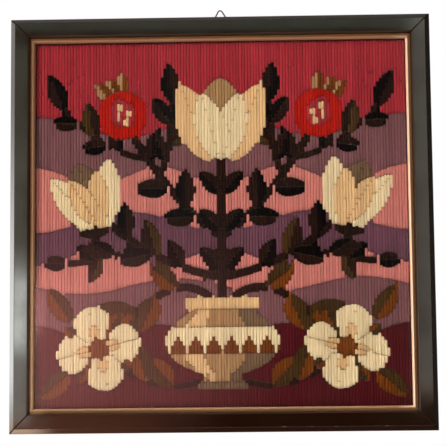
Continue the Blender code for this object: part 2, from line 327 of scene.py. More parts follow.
def tulip(chart, base, tip, width, outer, inner, heart):
    """A cup of petals, its outer ones turned out."""
    ux, uy = tip[0] - base[0], tip[1] - base[1]
    run = math.hypot(ux, uy)

    def at(along, left):
        side = left * width / run
        return (base[0] + ux * along - uy * side, base[1] + uy * along + ux * side)

    chart.leaf(at(0.0, 0.0), at(1.06, 0.0), width * 0.62, heart, heart, 0.6, 1.0)
    for side in (-1, 1):
        chart.leaf(at(-0.02, 0.10 * side), at(0.98, 0.52 * side), width * 0.50, outer, outer, 0.65, 0.9)
        chart.leaf(at(0.02, 0.02 * side), at(0.86, 0.24 * side), width * 0.40, inner, inner, 0.65, 0.9)


def fruit(chart, centre, radius, up):
    """A round fruit with a crown, a darker middle and a diamond of seeds."""
    ux, uy = up

    def at(along, left):
        return (centre[0] + (ux * along - uy * left) * radius, centre[1] + (uy * along + ux * left) * radius)

    for left in (-0.55, 0.0, 0.55):
        chart.leaf(at(0.7, left * 0.5), at(1.65, left), radius * 0.55, "tan", "rust", 0.7, 0.9)
    chart.oval(centre, radius, radius, "poppy")
    chart.leaf(at(-0.62, 0.0), at(0.72, 0.0), radius * 1.0, "crimson", "crimson", 0.8, 0.95)
    for along, left in ((0.3, 0.0), (-0.02, 0.22), (-0.02, -0.22), (-0.34, 0.0)):
        chart.oval(at(along, left), 0.9, 1.4, "oat")


def blossom(chart, centre, radius, turn):
    """A flower of four broad petals with a leaf between each two."""

    def at(angle, reach):
        return (centre[0] + radius * reach * math.cos(angle), centre[1] + radius * reach * math.sin(angle))

    for quarter in range(4):
        between = turn + (quarter + 0.5) * math.pi / 2
        chart.leaf(centre, at(between, 0.98), radius * 0.42, "rust", "olive", 0.8, 1.0)
    for quarter in range(4):
        angle = turn + quarter * math.pi / 2
        chart.leaf(centre, at(angle, 1.0), radius * 0.86, "cream", "cream", 0.6, 1.7)
        chart.leaf(centre, at(angle, 0.62), radius * 0.26, "oat", "oat", 0.7, 1.0)
    chart.oval(centre, radius * 0.22, radius * 0.22, "rust")


def leaf_on(chart, line, at, side, length, width, lean, left, right):
    """A leaf that grows from a stem, at a share of the way along it; side is 1 to the left of its way."""
    index = min(int(at * (len(line) - 1)), len(line) - 2)
    (x0, y0), (x1, y1) = line[index], line[index + 1]
    heading = math.atan2(y1 - y0, x1 - x0) + side * lean
    share = at * (len(line) - 1) - index
    base = (x0 + share * (x1 - x0), y0 + share * (y1 - y0))
    tip = (base[0] + length * math.cos(heading), base[1] + length * math.sin(heading))
    chart.leaf(base, tip, width, left, right)


# Stems of the left half: start, pull and end of each curve in holes, and its thickness
STEMS = {
    "tendril": ((33, 54.5), (28, 50), (11, 49), 2.1),
    "shoot": ((41, 75.5), (47, 86), (47, 104), 2.1),
    "outer": ((36.5, 85), (24, 87), (9, 103), 2.1),
    "ground": ((55, 8.5), (42, 3.5), (27, 15), 2.1),
    "lower": ((60.5, 36), (50, 47), (33, 31), 2.6),
    "middle": ((63, 44), (42, 47), (21, 66), 2.6),
    "upper": ((63, 58), (50, 66), (33, 93), 2.6),
}

# Leaves: stem, place along it, side, length, width, lean, left yarn, right yarn
LEAVES = [
    ("upper", 0.30, 1, 12, 6.5, 0.80, "umber", "night"),
    ("upper", 0.42, -1, 13, 6.5, 0.75, "night", "umber"),
    ("upper", 0.60, 1, 13, 6.5, 0.90, "night", "umber"),
    ("upper", 0.82, -1, 12, 6.0, 0.90, "umber", "night"),
    ("middle", 0.30, -1, 11, 6.0, 0.70, "night", "umber"),
    ("middle", 0.52, -1, 13, 6.5, 0.80, "umber", "olive"),
    ("middle", 0.55, 1, 13, 6.5, 0.70, "umber", "night"),
    ("middle", 0.76, -1, 12, 6.0, 0.90, "night", "umber"),
    ("middle", 0.88, 1, 13, 6.5, 0.85, "umber", "night"),
    ("shoot", 0.35, 1, 11, 5.5, 0.70, "night", "umber"),
    ("shoot", 0.55, -1, 11, 5.5, 0.70, "umber", "olive"),
    ("shoot", 0.78, 1, 12, 6.0, 0.70, "umber", "night"),
    ("shoot", 0.84, -1, 11, 5.5, 0.60, "night", "umber"),
    ("shoot", 1.00, 1, 14, 6.5, 0.10, "night", "umber"),
    ("outer", 0.30, -1, 9, 5.0, 0.80, "umber", "night"),
    ("outer", 0.45, 1, 10, 5.5, 0.70, "night", "umber"),
    ("outer", 0.62, -1, 12, 6.0, 0.75, "olive", "umber"),
    ("outer", 0.80, 1, 10, 5.5, 0.70, "umber", "night"),
    ("outer", 0.97, -1, 14, 6.5, 0.35, "umber", "night"),
    ("tendril", 0.40, -1, 10, 5.5, 0.80, "umber", "night"),
    ("tendril", 0.62, 1, 9, 5.0, 0.90, "olive", "umber"),
    ("tendril", 0.66, -1, 9, 5.0, 0.80, "night", "umber"),
    ("tendril", 1.00, -1, 9, 5.5, 0.10, "night", "umber"),
    ("lower", 0.50, -1, 12, 7.0, 0.90, "rust", "olive"),
    ("lower", 0.75, 1, 13, 7.5, 0.60, "rust", "olive"),
    ("lower", 0.95, -1, 19, 9.0, 0.62, "rust", "olive"),
    ("lower", 0.98, 1, 15, 8.0, 0.35, "olive", "rust"),
    ("ground", 0.30, -1, 14, 7.5, 0.80, "olive", "rust"),
    ("ground", 0.62, -1, 15, 8.0, 0.90, "rust", "olive"),
]
TRUNK = [(MIDDLE, 36), (MIDDLE, 88)]


def design():
    """An urn of flowers, fruit and leaves, the same on both sides."""
    chart = Chart()
    background(chart)
    curves = {name: bent(start, pull, end) for name, (start, pull, end, _) in STEMS.items()}
    for name, line in curves.items():
        for _, branch in both_sides(line):
            chart.stem(branch, STEMS[name][3], "umber")
    chart.stem(TRUNK, 3.2, "umber")
    for name, at, side, length, width, lean, left, right in LEAVES:
        for flip, branch in both_sides(curves[name]):
            halves = (left, right) if flip == 1 else (right, left)
            leaf_on(chart, branch, at, side * flip, length, width, lean, *halves)
    for at in (0.20, 0.45, 0.70):
        leaf_on(chart, TRUNK, at, 1, 11, 5.5, 0.75, "night", "umber")
        leaf_on(chart, TRUNK, at, -1, 11, 5.5, 0.75, "umber", "night")
    urn(chart)
    tulip(chart, (MIDDLE, 84), (MIDDLE, 111), 27, "oat", "cream", "tan")
    for flip in (1, -1):

        def place(x, y):
            return (x, y) if flip == 1 else (COLUMNS - x, y)

        halves = ("rust", "olive") if flip == 1 else ("olive", "rust")
        tulip(chart, place(22, 62), place(15, 82), 20, "cream", "oat", "stone")
        fruit(chart, place(30, 100), 8.5, (-0.35 * flip, 0.94))
        blossom(chart, place(21.5, 20), 14.5, 0.25 * flip)
        chart.leaf(place(12, 12), place(1, 3), 7.5, *halves)
        chart.leaf(place(12, 29), place(4, 41), 7.0, *halves)
    return chart


def runs(line):
    """The (first, after last) steps of each stretch of one region."""
    edges = np.flatnonzero(np.diff(line)) + 1
    return list(zip([0, *edges], [*edges, len(line)]))


def join_short_runs(chart):
    """Gives each run that is too short for a stitch to the longer of its neighbours."""
    for regions, yarns in zip(chart.region, chart.yarn):
        found = runs(regions)
        shortest = min(found, key=lambda run: run[1] - run[0])
        while shortest[1] - shortest[0] < SHORTEST_STITCH:
            place = found.index(shortest)
            neighbours = found[max(place - 1, 0) : place] + found[place + 1 : place + 2]
            longer = max(neighbours, key=lambda run: run[1] - run[0])
            regions[shortest[0] : shortest[1]] = regions[longer[0]]
            yarns[shortest[0] : shortest[1]] = yarns[longer[0]]
            found = runs(regions)
            shortest = min(found, key=lambda run: run[1] - run[0])


def stitches(chart, random):
    """Every stitch as (column, first step, after last step, yarn), with long runs split at uneven places."""
    found = []
    for column in range(chart.region.shape[0]):
        for first, after in runs(chart.region[column]):
            while after - first > LONGEST_STITCH:
                most = min(LONGEST_STITCH, after - first - SHORTEST_PART)
                part = int(random.integers(SHORTEST_PART, most + 1))
                found.append((column, first, first + part, chart.yarn[column, first]))
                first += part
            found.append((column, first, after, chart.yarn[column, first]))
    return found


def sample_strand(length):
    """Places along a strand: close together where it rises and dives, and wider apart between."""
    start = np.array(END_SAMPLES)
    inner = length - 2 * start[-1]
    parts = max(2, round(inner / SAMPLE_STEP))
    middle = start[-1] + inner * np.arange(1, parts) / parts
    return np.concatenate([start, middle, length - start[::-1]])


def unevenness(s, depth, wave, spread, random):
    """How much fuller than usual a strand is along its way."""
    return 1 + depth * np.sin(s / wave + random.uniform(0, WIDEST_PHASE)) + random.normal(0, spread)


def sway(column, z):
    """How far a strand strays sideways from the middle of its column: a slow wave and a quicker one."""
    slow = SWAY * np.sin(z / WANDER + column * SLOW_PHASE)
    quick = QUICK_SWAY * np.sin(z / QUICK_WANDER + column * QUICK_PHASE)
    return slow + quick


def strand_faces(ring_count):
    """The sides of a strand and the caps of its ends."""
    ring = np.arange(STRAND_ARCH)
    rings = np.arange(ring_count - 1)[:, None] * STRAND_ARCH
    this = rings + ring
    after_this = rings + np.roll(ring, -1)
    sides = np.stack([this, after_this, after_this + STRAND_ARCH, this + STRAND_ARCH], axis=2)
    last = (ring_count - 1) * STRAND_ARCH
    return sides.reshape(-1, 4), [tuple(ring[::-1]), tuple(ring + last)]


def strand(column, first, after, random):
    """The points and faces of one strand, which rises from a hole, runs up and dives into the next."""
    length = (after - first) / STEPS_PER_ROW * ROW_PITCH
    s = sample_strand(length)
    rise = np.sin(np.clip(np.minimum(s, length - s) / SHOULDER, 0, 1) * math.pi / 2)
    puff = unevenness(s, *PUFF, random)
    swell = unevenness(s, *SWELL, random)
    half = STRAND_WIDTH / 2 * (END_WIDTH_SHARE + (1 - END_WIDTH_SHARE) * rise**END_WIDTH_CURVE) * swell
    height = STRAND_HEIGHT * (END_HEIGHT_SHARE + (1 - END_HEIGHT_SHARE) * rise**END_HEIGHT_CURVE) * puff
    base = CANVAS_FRONT_Y + DIVE * (1 - rise)
    up = SIGHT_BOTTOM + (first / STEPS_PER_ROW - HIDDEN) * ROW_PITCH + s
    centre = SIGHT_LEFT + (column - HIDDEN + 0.5) * PITCH + sway(column, up)
    angle = np.linspace(0, math.pi, STRAND_ARCH)
    x = centre[:, None] - np.cos(angle)[None, :] * half[:, None]
    y = base[:, None] - np.sin(angle)[None, :] ** ARCH_FULLNESS * height[:, None]
    z = np.repeat(up[:, None], STRAND_ARCH, axis=1)
    points = np.stack([x, y, z], axis=2).reshape(-1, 3)
    return points, *strand_faces(len(s))


def gather_strands():
    """For each yarn, the points and faces of all its strands."""
    random = np.random.default_rng(SEED)
    chart = design()
    join_short_runs(chart)
    heaps = {name: ([], []) for name in YARN_NAMES}
    counts = dict.fromkeys(YARN_NAMES, 0)
    for column, first, after, yarn in stitches(chart, random):
        name = YARN_NAMES[yarn]
        points, sides, caps = strand(column, first, after, random)
        all_points, all_faces = heaps[name]
        all_points.append(points)
        all_faces.extend(map(tuple, (sides + counts[name]).tolist()))
        all_faces.extend(tuple(int(i) + counts[name] for i in cap) for cap in caps)
        counts[name] += len(points)
    return heaps


def new_piece(name, mesh, material):
    """Puts a mesh into the scene with its finish."""
    mesh.materials.append(material)
    piece = bpy.data.objects.new(name, mesh)
    bpy.context.scene.collection.objects.link(piece)
    return piece


def make_wool():
    """One mesh for each yarn, with every stitch of that yarn in it."""
    pieces = []
    for name, (points, faces) in gather_strands().items():
        mesh = bpy.data.meshes.new(f"wool_{name}")
        mesh.from_pydata(np.concatenate(points), [], faces)
        mesh.update()
        mesh.shade_smooth()
        piece = new_piece(f"wool_{name}", mesh, wool_material(name))
        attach(piece, "root")
        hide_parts("embroidery")
        pieces.append(piece)
    return pieces


class Nodes:
    """A short way to write a material's nodes."""

    def __init__(self, name):
        self.material = bpy.data.materials.new(name)
        self.material.use_nodes = True
        self.tree = self.material.node_tree
        self.tree.nodes.clear()
        self.output = self.tree.nodes.new("ShaderNodeOutputMaterial")

    def add(self, kind, inputs=None, **settings):
        node = self.tree.nodes.new(kind)
        for key, value in settings.items():
            setattr(node, key, value)
        for key, value in (inputs or {}).items():
            self.feed(node.inputs[key], value)
        return node

    def feed(self, socket, value):
        if isinstance(value, bpy.types.NodeSocket):
            self.tree.links.new(value, socket)
        elif isinstance(value, bpy.types.Node):
            self.tree.links.new(value.outputs[0], socket)
        elif isinstance(value, tuple) and len(value) == 3 and socket.type == "RGBA":
            socket.default_value = (*value, 1)
        else:
            socket.default_value = value

    def math(self, operation, first, second=None, clamp=False):
        node = self.tree.nodes.new("ShaderNodeMath")
        node.operation = operation
        node.use_clamp = clamp
        self.feed(node.inputs[0], first)
        if second is not None:
            self.feed(node.inputs[1], second)
        return node.outputs[0]

    def spot(self):
        """The object's own coordinates, which are places in the frame."""
        return self.add("ShaderNodeTexCoord").outputs["Object"]

    def place(self):
        """The spot, and its X and its Z."""
        spot = self.spot()
        split = self.add("ShaderNodeSeparateXYZ", {0: spot})
        return spot, split.outputs[0], split.outputs[2]

    def stretch(self, spot, scale):
        return self.add("ShaderNodeVectorMath", {0: spot, 1: scale}, operation="MULTIPLY").outputs[0]

    def noise(self, spot, scale, detail=4.0, rough=0.55):
        inputs = {"Vector": spot, "Scale": scale, "Detail": detail, "Roughness": rough}
        return self.add("ShaderNodeTexNoise", inputs).outputs["Fac"]

    def between(self, value, low, high, to_low=0.0, to_high=1.0):
        """Goes smoothly from to_low to to_high as a value goes from low to high."""
        inputs = {"Value": value, "From Min": low, "From Max": high, "To Min": to_low, "To Max": to_high}
        return self.add("ShaderNodeMapRange", inputs, interpolation_type="SMOOTHSTEP").outputs[0]

    def mix(self, share, first, second):
        node = self.tree.nodes.new("ShaderNodeMix")
        node.data_type = "RGBA"
        self.feed(node.inputs["Factor"], share)
        self.feed(node.inputs[6], first)
        self.feed(node.inputs[7], second)
        return node.outputs[2]

    def bump(self, height, distance, strength=1.0, before=None):
        node = self.add("ShaderNodeBump", {"Height": height, "Distance": distance, "Strength": strength})
        if before is not None:
            self.feed(node.inputs["Normal"], before)
        return node.outputs[0]

    def mix_shaders(self, share, first, second):
        return self.add("ShaderNodeMixShader", {0: share, 1: first, 2: second})

    def principled(self, **inputs):
        """A principled shader, which is the finish unless another one is shown after it."""
        shader = self.tree.nodes.new("ShaderNodeBsdfPrincipled")
        for key, value in inputs.items():
            self.feed(shader.inputs[key.replace("_", " ")], value)
        self.show(shader)
        return shader

    def show(self, shader):
        self.tree.links.new(shader.outputs[0], self.output.inputs["Surface"])


def from_sight_edge(n, x, z):
    """How far a point lies inside the opening of the slips, as nodes."""
    left = n.math("SUBTRACT", x, SIGHT_LEFT)
    right = n.math("SUBTRACT", SIGHT_RIGHT, x)
    bottom = n.math("SUBTRACT", z, SIGHT_BOTTOM)
    top = n.math("SUBTRACT", SIGHT_TOP, z)
    return n.math("MINIMUM", n.math("MINIMUM", left, right), n.math("MINIMUM", bottom, top))


def from_outer_edges(n, x, z):
    """How far a point lies from the frame's nearer upright edge and nearer level edge, as nodes."""
    side = n.math("SUBTRACT", FRAME_WIDTH / 2, n.math("ABSOLUTE", x))
    end = n.math("SUBTRACT", FRAME_HEIGHT / 2, n.math("ABSOLUTE", n.math("SUBTRACT", z, FRAME_MIDDLE_Z)))
    return side, end


def from_mitre(n, x, z):
    """How far a point lies from the line of the nearest mitre, as nodes."""
    side, end = from_outer_edges(n, x, z)
    return n.math("MULTIPLY", n.math("ABSOLUTE", n.math("SUBTRACT", side, end)), SINE_OF_MITRE)


def tinted(colour, share, lift=0.0):
    """A colour made lighter or darker, but never past white."""
    return tuple(min(1.0, c * share + lift) for c in colour)


def wool_tones(n, spot, across, dark, light):
    """Each column's own tone, with streaks along the strand and a slow drift over the picture."""
    column = n.math("FLOOR", across)
    tone = n.add("ShaderNodeTexWhiteNoise", {"W": column}, noise_dimensions="1D").outputs["Value"]
    streaks = n.noise(n.stretch(spot, (1.0, 1.0, 0.22)), scale=900.0, detail=5.0, rough=0.6)
    drift = n.noise(spot, scale=35.0, detail=2.0)
    share = n.math("ADD", n.math("MULTIPLY", tone, 0.30), n.math("MULTIPLY", streaks, 0.6))
    share = n.math("SUBTRACT", n.math("ADD", share, n.math("MULTIPLY", drift, 0.14)), 0.02, clamp=True)
    return n.mix(share, dark, light)


def ply_wave(n, across, z):
    """The twist of the wool: a wave that climbs slantwise round each strand."""
    turn = n.math("MULTIPLY", n.math("FRACT", across), PLY_SLANT)
    climb = n.math("ADD", n.math("DIVIDE", z, PLY_LENGTH), turn)
    return n.math("SINE", n.math("MULTIPLY", climb, 2 * math.pi))


def wool_material(name):
    """Twisted wool with fine plies and fibres, with painted shade in the furrows between strands and in the
    grooves of the twist, and a painted shadow of the slips along the sight edge.
    """
    n = Nodes(f"wool_{name}")
    colour = YARNS[name]
    dark = tinted(colour, 0.55)
    spot, x, z = n.place()
    across = n.math("DIVIDE", n.math("SUBTRACT", x, SIGHT_LEFT), PITCH)
    base = wool_tones(n, spot, across, dark, tinted(colour, 1.40, 0.0005))
    # Painted shade in the furrows between strands: each column is darker towards its edges.
    off_middle = n.math("ABSOLUTE", n.math("SUBTRACT", n.math("FRACT", across), 0.5))
    furrow_shade = max(0.10, 0.80 - 1.25 * sum(colour) / 3)
    base = n.mix(n.between(off_middle, 0.28, 0.5, 0.0, furrow_shade), base, tinted(colour, 0.35))
    ply = ply_wave(n, across, z)
    fibres = n.noise(n.stretch(spot, (1.0, 1.0, 0.35)), scale=2600.0, detail=3.0, rough=0.7)
    relief = n.bump(ply, distance=0.10 * MM, strength=0.7)
    relief = n.bump(fibres, distance=0.22 * MM, strength=0.8, before=relief)
    # Painted shade in the grooves of the twist.
    shade = n.mix(n.between(ply, -1.0, -0.1, 0.30, 0.0), base, dark)
    # Painted shadow of the slips: the wool is darker and deeper in colour within 1.6 mm of the sight edge.
    slip_shadow = n.between(from_sight_edge(n, x, z), 0.3 * MM, 1.6 * MM, 0.8, 0.0)
    shade = n.mix(slip_shadow, shade, tuple(c * c * 0.5 for c in colour))
    n.principled(
        Base_Color=shade,
        Roughness=0.92,
        Sheen_Weight=0.10,
        Sheen_Roughness=0.5,
        Sheen_Tint=tinted(colour, 2, 0.02),
        Specular_IOR_Level=0.0,
        Normal=relief,
    )
    return n.material


def thread_wave(n, place, first, pitch):
    """A wave with one turn to each thread of the canvas."""
    turns = n.math("DIVIDE", n.math("SUBTRACT", place, first), pitch)
    return n.math("SINE", n.math("MULTIPLY", turns, 2 * math.pi))


def canvas_material():
    """Open double-thread canvas: dark brown threads over and under, with the holes painted near black as
    painted shade.
    """
    n = Nodes("canvas")
    spot, x, z = n.place()
    upright = thread_wave(n, x, SIGHT_LEFT, PITCH)
    level = thread_wave(n, z, SIGHT_BOTTOM, ROW_PITCH)
    weave = n.math("MAXIMUM", n.math("ABSOLUTE", upright), n.math("ABSOLUTE", level))
    # Painted shade: the holes are near black, and the brown threads are darkened further to stand for the
    # shade between the stitches.
    base = n.mix(n.between(weave, 0.3, 0.9), (0.004, 0.003, 0.002), (0.045, 0.028, 0.018))
    base = n.mix(n.math("MULTIPLY", n.noise(spot, scale=700.0), 0.5), base, (0.016, 0.010, 0.007))
    n.principled(Base_Color=base, Roughness=0.9, Normal=n.bump(weave, distance=0.3 * MM, strength=0.8))
    return n.material


def lacquer_tones(n, spot, z, inward):
    """Cloudy black-brown lacquer, rubbed through along its outer arris and most of all at the foot."""
    cloud = n.between(n.noise(spot, scale=28.0, detail=3.0), 0.35, 0.65)
    base = n.mix(cloud, (0.0090, 0.0030, 0.0013), (0.0105, 0.0045, 0.0022))
    arris = n.math("ABSOLUTE", n.math("SUBTRACT", inward, BEVEL_EDGE))
    foot = n.between(z, *RUBBED_FOOT)
    chips = n.math("ADD", n.noise(spot, scale=210.0, detail=5.0, rough=0.7), n.math("MULTIPLY", foot, 0.05))
    rub = n.math("MULTIPLY", n.between(arris, 0.0, 0.7 * MM, 1.0, 0.0), n.between(chips, 0.62, 0.70))
    return n.mix(rub, base, (0.20, 0.13, 0.08))


def bare_wood(n, spot):
    grain = n.noise(n.stretch(spot, (40.0, 40.0, 400.0)), scale=1.0, detail=4.0)
    return n.mix(grain, (0.26, 0.15, 0.075), (0.42, 0.27, 0.14))


def dull_parts(n, x, z, inward):
    """Where the lacquer is dull, at the mitres, the inner step and the foot, and its shader there: dark at
    the mitre joints, a painted reflection on the lower left of the step, and a dark foot with a painted warm
    reflection towards its left.
    """
    mitre = n.between(from_mitre(n, x, z), 0.25 * MM, 0.95 * MM, 1.0, 0.0)
    # The foot of the bottom rail is dull and dark, except at its far left end.
    dull_foot = n.math("MULTIPLY", n.between(z, *DULL_FOOT), n.between(x, *DULL_FOOT_STARTS, 0.0, 0.95))
    step = n.between(inward, *STEP_STARTS, 0.0, 0.85)
    # Painted reflection: the inner step is lighter on its lower left, where the light from the left falls.
    lit_low_left = n.math("MULTIPLY", n.between(x, *LEFT_STEP_ENDS, 1.0, 0.0), n.between(z, *LOWER_PART))
    # Painted reflection: the dull parts are warm and lighter towards the left, fading to near black by the
    # middle.
    tone = n.mix(n.between(x, *FOOT_REFLECTION_FADES), (0.060, 0.020, 0.011), (0.017, 0.0045, 0.0022))
    tone = n.mix(step, tone, n.mix(lit_low_left, (0.046, 0.023, 0.011), (0.10, 0.065, 0.037)))
    tone = n.mix(mitre, tone, (0.004, 0.003, 0.002))
    share = n.math("MAXIMUM", n.math("MAXIMUM", mitre, dull_foot), step)
    return share, n.add("ShaderNodeBsdfDiffuse", {"Color": tone})


def lacquer_material():
    """Gloss lacquer over wood, with worn arrises, dull mitres, a dull inner step with a painted reflection
    on its lower left, a dull dark foot with a painted warm reflection towards its left, and a bare back.
    """
    n = Nodes("lacquer")
    spot, x, z = n.place()
    inward = n.math("MINIMUM", *from_outer_edges(n, x, z))
    facing = n.add("ShaderNodeSeparateXYZ", {0: n.add("ShaderNodeNewGeometry").outputs["Normal"]})
    back = n.between(facing.outputs[1], 0.6, 0.9)
    base = n.mix(back, lacquer_tones(n, spot, z, inward), bare_wood(n, spot))
    smears = n.noise(spot, scale=26.0, detail=4.0, rough=0.6)
    rough = n.math("ADD", n.between(smears, 0.3, 0.7, 0.03, 0.10), n.math("MULTIPLY", back, 0.6))
    ripple = n.bump(n.noise(spot, scale=30.0, detail=2.0), distance=0.12 * MM, strength=0.12)
    shine = n.principled(Base_Color=base, Roughness=rough, Specular_IOR_Level=0.5, Normal=ripple)
    dull_share, dull = dull_parts(n, x, z, inward)
    n.show(n.mix_shaders(dull_share, shine, dull))
    return n.material


def gilt_tones(n, spot, x, z, ridge, inner):
    """A darker outer slope with painted shade, a gold ridge with a painted highlight and a warm inner face,
    both palest on the right as painted highlight, with painted shade at the top and upper left and a painted
    reflection on the lower left of the slope.
    """
    left = n.between(x, *LEFT_SLIP_ENDS, 1.0, 0.0)
    right = n.between(x, *RIGHT_SLIP_STARTS)
    lit_low_left = n.math("MULTIPLY", left, n.between(z, *LOWER_PART))
    # The outer slope is a darker gold with painted shade; the ridge is the gold with a painted highlight on
    # it.
    dull = n.mix(n.noise(spot, scale=300.0, detail=4.0), (0.12, 0.050, 0.018), (0.20, 0.10, 0.042))
    # Painted reflection: the outer slope is lighter on the lower left.
    dull = n.mix(lit_low_left, dull, (0.26, 0.135, 0.070))
    ridge_gold_and_highlight = n.mix(n.noise(spot, scale=240.0, detail=4.0), (0.41, 0.225, 0.115), (0.57, 0.355, 0.21))
    # Painted highlight: the ridge and the inner face are palest on the right slip, which faces the light
    # from the left.
    ridge_gold_and_highlight = n.mix(n.math("MULTIPLY", right, 0.7), ridge_gold_and_highlight, (0.86, 0.70, 0.54))
    base = n.mix(inner, n.mix(ridge, dull, ridge_gold_and_highlight), n.mix(right, (0.52, 0.29, 0.145), (0.90, 0.52, 0.33)))
    # Painted shade: the top slip and the upper part of the left slip are browner and darker.
    top_and_upper_left_shade = n.math("MAXIMUM", n.between(z, *TOP_SLIP_STARTS), n.math("SUBTRACT", left, lit_low_left))
    base = n.mix(n.math("MULTIPLY", top_and_upper_left_shade, 0.40), base, (0.13, 0.04, 0.010))
    worn = n.between(n.noise(spot, scale=520.0, detail=5.0, rough=0.7), 0.62, 0.72)
    return n.mix(n.math("MULTIPLY", worn, 0.6), base, (0.12, 0.035, 0.018))


def gilt_material():
    """Rubbed gold, with painted highlights palest on the right."""
    n = Nodes("gilt")
    spot, x, z = n.place()
    inward = n.math("MINIMUM", *from_outer_edges(n, x, z))
    ridge = n.between(inward, *RIDGE_STARTS)
    inner = n.between(inward, *INNER_FACE_STARTS)
    metal = n.between(ridge, 0.0, 1.0, 0.25, 0.85)
    metal = n.math("SUBTRACT", metal, n.math("MULTIPLY", inner, 0.60), clamp=True)
    n.principled(
        Base_Color=gilt_tones(n, spot, x, z, ridge, inner),
        Metallic=metal,
        Roughness=n.between(n.noise(spot, scale=150.0), 0.3, 0.7, 0.28, 0.5),
        Normal=n.bump(n.noise(spot, scale=400.0, detail=3.0), distance=0.1 * MM, strength=0.4),
    )
    return n.material


def glass_material():
    """Clear picture glass with a little dust on it.

    Its outer faces carry the gloss of both sides of the pane, so the inner ones stay clear at any angle.
    """
    n = Nodes("glass")
    spot = n.spot()
    clear = n.add("ShaderNodeBsdfTransparent", {"Color": (0.97, 0.98, 0.975)})
    gloss = n.add("ShaderNodeBsdfGlossy", {"Color": (1.0, 1.0, 1.0), "Roughness": 0.045})
    fresnel = n.add("ShaderNodeFresnel", {"IOR": 1.45})
    inside = n.add("ShaderNodeNewGeometry").outputs["Backfacing"]
    both_sides = n.math("MULTIPLY", fresnel, n.between(inside, 0.0, 1.0, 2.0, 0.0), clamp=True)
    film = n.between(n.noise(spot, scale=9.0, detail=3.0), 0.35, 0.75, 0.0005, 0.003)
    specks = n.between(n.noise(spot, scale=900.0, detail=2.0, rough=0.5), 0.79, 0.83)
    dust = n.math("ADD", film, n.math("MULTIPLY", specks, 0.25), clamp=True)
    haze = n.add("ShaderNodeBsdfDiffuse", {"Color": (0.8, 0.78, 0.75)})
    n.show(n.mix_shaders(dust, n.mix_shaders(both_sides, clear, gloss), haze))
    return n.material


def hardboard_material():
    """Brown hardboard with its mesh-marked side out."""
    n = Nodes("hardboard")
    spot, x, z = n.place()
    turns = 2 * math.pi / HARDBOARD_MESH
    upright = n.math("SINE", n.math("MULTIPLY", x, turns))
    level = n.math("SINE", n.math("MULTIPLY", z, turns))
    mesh = n.math("MULTIPLY", upright, level)
    mottles = n.noise(spot, scale=120.0, detail=6.0, rough=0.65)
    base = n.mix(mottles, (0.13, 0.062, 0.027), (0.24, 0.13, 0.062))
    flecks = n.between(n.noise(spot, scale=1400.0, detail=2.0), 0.6, 0.7)
    base = n.mix(n.math("MULTIPLY", flecks, 0.5), base, (0.07, 0.035, 0.016))
    base = n.mix(n.between(mesh, 0.1, 0.9, 0.0, 0.35), base, (0.06, 0.03, 0.014))
    relief = n.bump(mesh, distance=0.25 * MM, strength=0.6)
    relief = n.bump(n.noise(spot, scale=1800.0, detail=3.0), distance=0.15 * MM, strength=0.5, before=relief)
    n.principled(Base_Color=base, Roughness=0.82, Normal=relief)
    return n.material


def steel_material():
    """Dull darkened steel with a little rust."""
    n = Nodes("steel")
    spot = n.spot()
    rust = n.between(n.noise(spot, scale=600.0, detail=5.0, rough=0.65), 0.5, 0.72)
    n.principled(
        Base_Color=n.mix(rust, (0.10, 0.085, 0.075), (0.11, 0.045, 0.02)),
        Metallic=n.math("SUBTRACT", 0.9, n.math("MULTIPLY", rust, 0.7)),
        Roughness=n.between(n.noise(spot, scale=900.0), 0.3, 0.7, 0.35, 0.55),
        Normal=n.bump(n.noise(spot, scale=2500.0), distance=0.05 * MM, strength=0.5),
    )
    return n.material


def glue_material():
    n = Nodes("mitre_glue")
    base = n.mix(n.noise(n.spot(), scale=800.0), (0.006, 0.005, 0.004), (0.03, 0.02, 0.012))
    n.principled(Base_Color=base, Roughness=0.7)
    return n.material


def floor_material():
    n = Nodes("floor")
    base = n.mix(n.noise(n.spot(), scale=3.0), (0.86, 0.85, 0.83), (0.90, 0.89, 0.87))
    n.principled(Base_Color=base, Roughness=0.9)
    return n.material


def mesh_from(shape, name):
    """Turns an edited shape into a mesh."""
    mesh = bpy.data.meshes.new(name)
    shape.to_mesh(mesh)
    shape.free()
    return mesh


def make_canvas():
    """The stretched canvas under the wool, cut to the rebate and rounded at its corners."""
    low = (SHEET_LOW[0], CANVAS_FRONT_Y, SHEET_LOW[2])
    shape = bmesh.new()
    bmesh.ops.create_cube(shape, size=1)
    for vert in shape.verts:
        vert.co = Vector(low[i] if vert.co[i] < 0 else SHEET_HIGH[i] for i in range(3))
    corners = [edge for edge in shape.edges if edge.verts[0].co.y != edge.verts[1].co.y]
    bmesh.ops.bevel(shape, geom=corners, offset=CANVAS_CORNER, segments=3, affect="EDGES")
    piece = new_piece("canvas", mesh_from(shape, "canvas"), canvas_material())
    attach(piece, "root")
    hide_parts("embroidery")
    return piece


def cut_end(rail, cut):
    """The cut end of a rail, which faces the way of cut, as a shape of its own."""
    shape = bmesh.new()
    shape.from_mesh(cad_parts[rail].data)
    others = [face for face in shape.faces if face.normal.dot(cut) < 0.999]
    bmesh.ops.delete(shape, geom=others, context="FACES")
    bmesh.ops.remove_doubles(shape, verts=shape.verts, dist=SAME_PLACE)
    return shape


